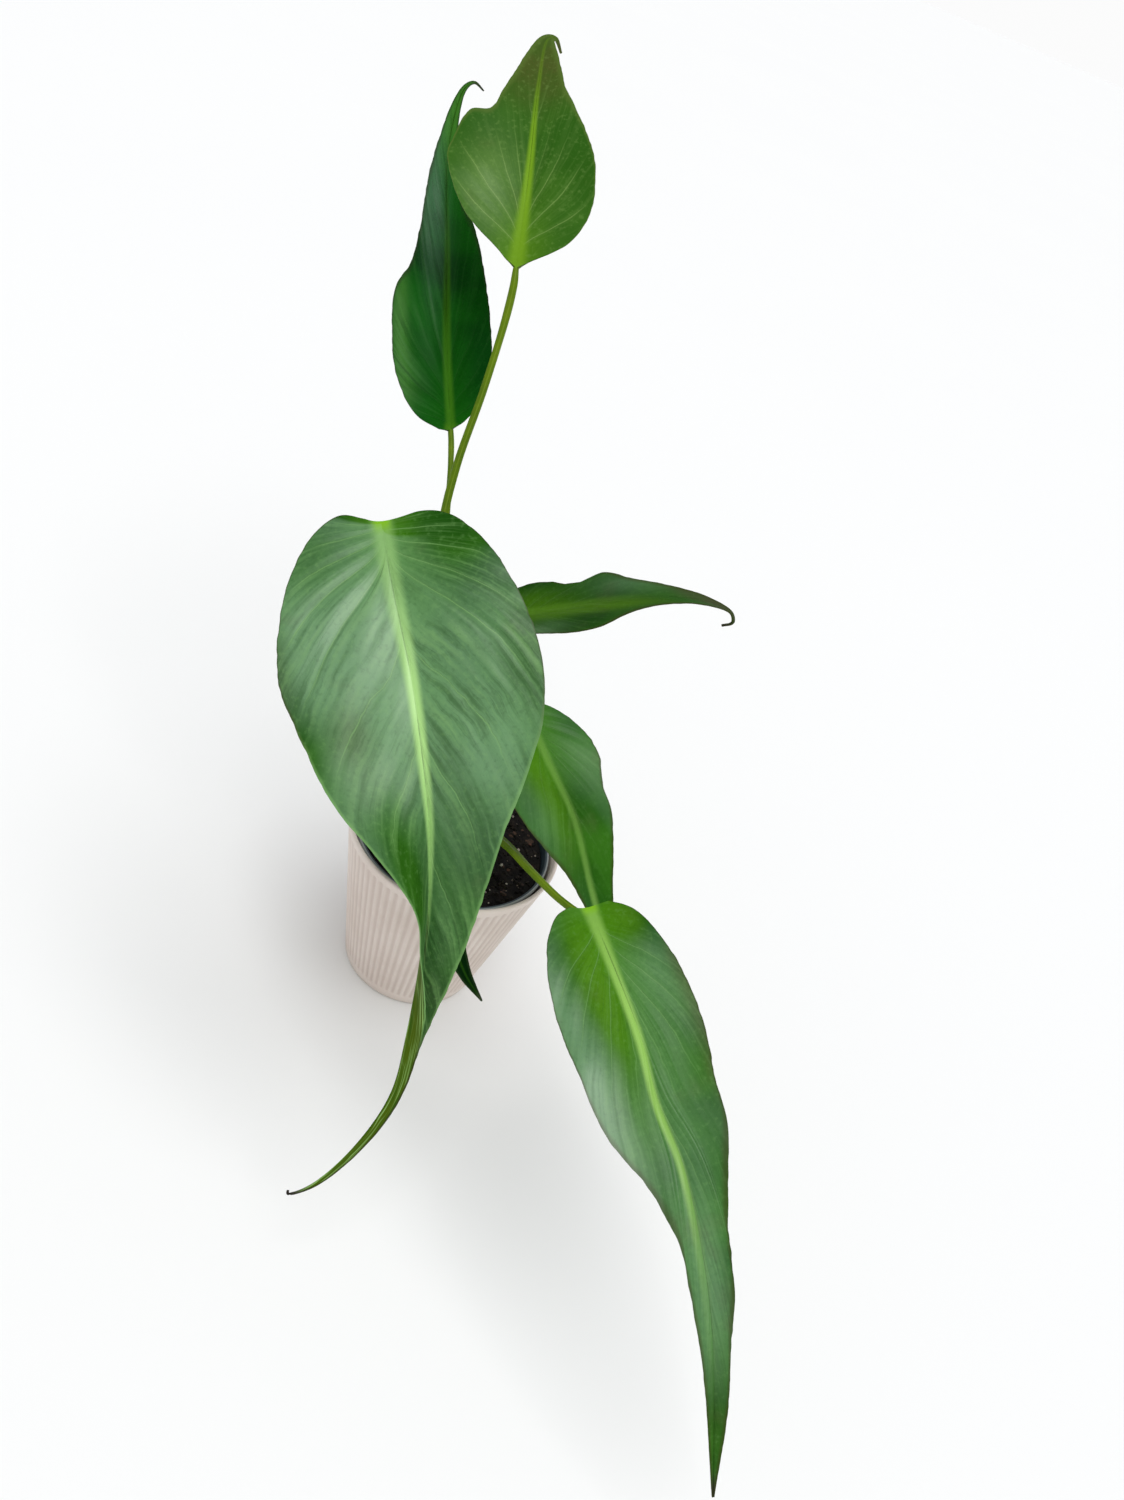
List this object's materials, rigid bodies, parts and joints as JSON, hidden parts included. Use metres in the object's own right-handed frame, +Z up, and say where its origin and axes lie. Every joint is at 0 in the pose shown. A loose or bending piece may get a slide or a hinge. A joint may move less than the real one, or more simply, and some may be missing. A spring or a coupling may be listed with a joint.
{
  "type": "potted flame monstera",
  "caption": "Potted aroid with long drip-tipped, waved leaves on a short leaning stem, in a nursery pot of soil inside a ribbed white pot.",
  "frame": {"origin": "centre of the underside of the outer pot, on the plane it stands on", "axes": "+Z up along the pot's axis; -Y towards the side that the large front leaf faces; +X to the right as seen from that side"},
  "size_m": [0.4537, 0.5803, 0.5459],
  "materials": {
    "pot_ceramic": "satin",
    "nursery_plastic": "satin",
    "potting_mix": "matte",
    "stem": "satin",
    "leaf_mature": "satin",
    "leaf_young": "satin",
    "leaf_dark": "satin"
  },
  "bodies": {
    "root": {"outer_pot": "pot_ceramic", "nursery_pot": "nursery_plastic", "soil": "potting_mix", "stem_and_stalks": "stem", "leaf_a_blade": "leaf_mature", "leaf_b_blade": "leaf_young", "leaf_c_blade": "leaf_dark", "leaf_d_blade": "leaf_mature", "leaf_e_blade": "leaf_mature", "leaf_f_blade": "leaf_mature", "leaf_g_blade": "leaf_dark"}
  },
  "joints": []
}
